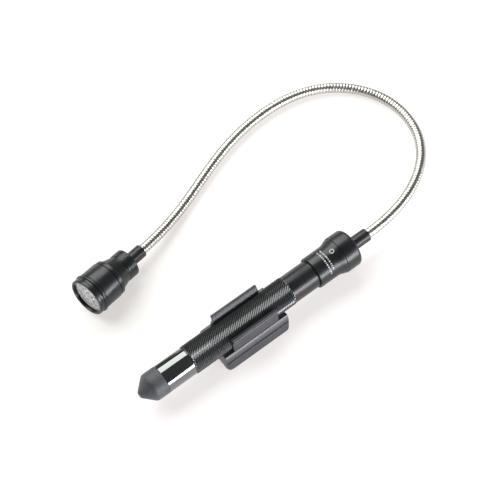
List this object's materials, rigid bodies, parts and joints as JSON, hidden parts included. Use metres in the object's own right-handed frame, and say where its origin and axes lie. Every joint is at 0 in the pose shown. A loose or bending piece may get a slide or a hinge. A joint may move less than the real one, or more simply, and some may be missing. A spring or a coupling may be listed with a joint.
{
  "type": "flexible neck work light",
  "caption": "Slim battery work light with a bendable wound-metal neck, a small lens head, a rubber tail switch and a magnetic clip holder.",
  "frame": {"origin": "middle of the clip holder's magnetic face", "axes": "+X along the barrel from the tail switch to the neck end, +Y towards the side that the neck curls on, +Z away from the magnetic face"},
  "size_m": [0.2525, 0.1311, 0.0266],
  "materials": {
    "holder_plastic": "glossy black moulding",
    "magnet": "matte dark grey",
    "plated_steel": "plated",
    "black_anodised": "satin black anodised",
    "polished_black": "polished black anodised",
    "rubber": "matte black",
    "neck_steel": "bright plated, finely wound",
    "cell_wrap": "plain wrapped cell, weighed like a real one",
    "contact_brass": "plated",
    "inner_plastic": "matte dark",
    "carrier_plastic": "matte natural",
    "lead_insulation": "matte red",
    "reflector_silver": "bright metallised",
    "lens_clear": "clear",
    "led_epoxy": "clear with a pale yellow die",
    "print_white": "matte screen print",
    "board_green": "solder mask"
  },
  "bodies": {
    "holder": {"holder_body": "holder_plastic", "magnet_bar": "magnet", "backing_plate": "plated_steel"},
    "barrel": {"barrel_tube": "black_anodised", "bell_housing": "black_anodised", "bell_oring": "rubber", "barrel_ferrule": "black_anodised", "contact_carrier": "carrier_plastic", "contact_pin": "contact_brass", "battery_rear": "cell_wrap", "battery_front": "cell_wrap", "neck_link_1": "neck_steel", "neck_lead_1": "lead_insulation"},
    "tail_oring": {"tail_oring": "rubber"},
    "tail_cap": {"tail_cap": "polished_black", "switch_body": "inner_plastic", "switch_retainer": "plated_steel", "battery_spring": "plated_steel", "boot_skirt": "rubber"},
    "button": {"boot_button": "rubber", "switch_plunger": "carrier_plastic"},
    "neck_2": {"neck_link_2": "neck_steel", "neck_lead_2": "lead_insulation"},
    "neck_3": {"neck_link_3": "neck_steel", "neck_lead_3": "lead_insulation"},
    "neck_4": {"neck_link_4": "neck_steel", "neck_lead_4": "lead_insulation"},
    "neck_5": {"neck_link_5": "neck_steel", "neck_lead_5": "lead_insulation"},
    "neck_6": {"neck_link_6": "neck_steel", "neck_lead_6": "lead_insulation"},
    "neck_7": {"neck_link_7": "neck_steel", "neck_lead_7": "lead_insulation"},
    "head": {"neck_link_8": "neck_steel", "neck_lead_8": "lead_insulation", "head_ferrule": "black_anodised", "head_body": "black_anodised", "bezel": "black_anodised", "lens": "lens_clear", "lens_oring": "rubber", "reflector": "reflector_silver", "leds": "led_epoxy", "led_board": "board_green", "lamp_wires": "lead_insulation"}
  },
  "joints": [
    {"name": "barrel_turn", "type": "hinge", "parent": "holder", "child": "barrel", "pos_m": [0, 0, 0.014], "axis": [1, 0, 0], "continuous": true},
    {"name": "cap_turn", "type": "hinge", "parent": "barrel", "child": "tail_oring", "pos_m": [-0.0408, 0, 0.014], "axis": [-1, 0, 0], "range_deg": [0, 1080]},
    {"name": "cap_travel", "type": "slide", "parent": "tail_oring", "child": "tail_cap", "axis": [-1, 0, 0], "range_m": [0, 0.003]},
    {"name": "button_press", "type": "slide", "parent": "tail_cap", "child": "button", "axis": [1, 0, 0], "range_m": [0, 0.0015], "stiffness_N_per_m": 1000, "springref_m": -0.002},
    {"name": "neck_bend_1", "type": "hinge", "parent": "barrel", "child": "neck_2", "pos_m": [0.13454, 0.00761, 0.01257], "axis": [0.1057, 0.0406, 0.9936], "range_deg": [-38, 8]},
    {"name": "neck_bend_2", "type": "hinge", "parent": "neck_2", "child": "neck_3", "pos_m": [0.16589, 0.03403, 0.00815], "axis": [0.8589, -0.5122, 0], "range_deg": [-35, 35]},
    {"name": "neck_bend_3", "type": "hinge", "parent": "neck_3", "child": "neck_4", "pos_m": [0.17058, 0.07429, 0.00361], "axis": [0, 0, 1], "range_deg": [-38, 8]},
    {"name": "neck_bend_4", "type": "hinge", "parent": "neck_4", "child": "neck_5", "pos_m": [0.14338, 0.1046, 0.00361], "axis": [0.4003, 0.9164, 0], "range_deg": [-35, 35]},
    {"name": "neck_bend_5", "type": "hinge", "parent": "neck_5", "child": "neck_6", "pos_m": [0.10245, 0.11226, 0.00361], "axis": [0, 0, 1], "range_deg": [-38, 12]},
    {"name": "neck_bend_6", "type": "hinge", "parent": "neck_6", "child": "neck_7", "pos_m": [0.06136, 0.10434, 0.00361], "axis": [-0.3322, 0.9432, 0], "range_deg": [-35, 35]},
    {"name": "neck_bend_7", "type": "hinge", "parent": "neck_7", "child": "head", "pos_m": [0.02213, 0.08936, 0.00361], "axis": [0.1127, 0.0465, 0.9925], "range_deg": [-35, 24]}
  ],
  "couplings": [
    {"joint": "cap_travel", "follows": "cap_turn", "m_per_rad": 0.000159}
  ]
}
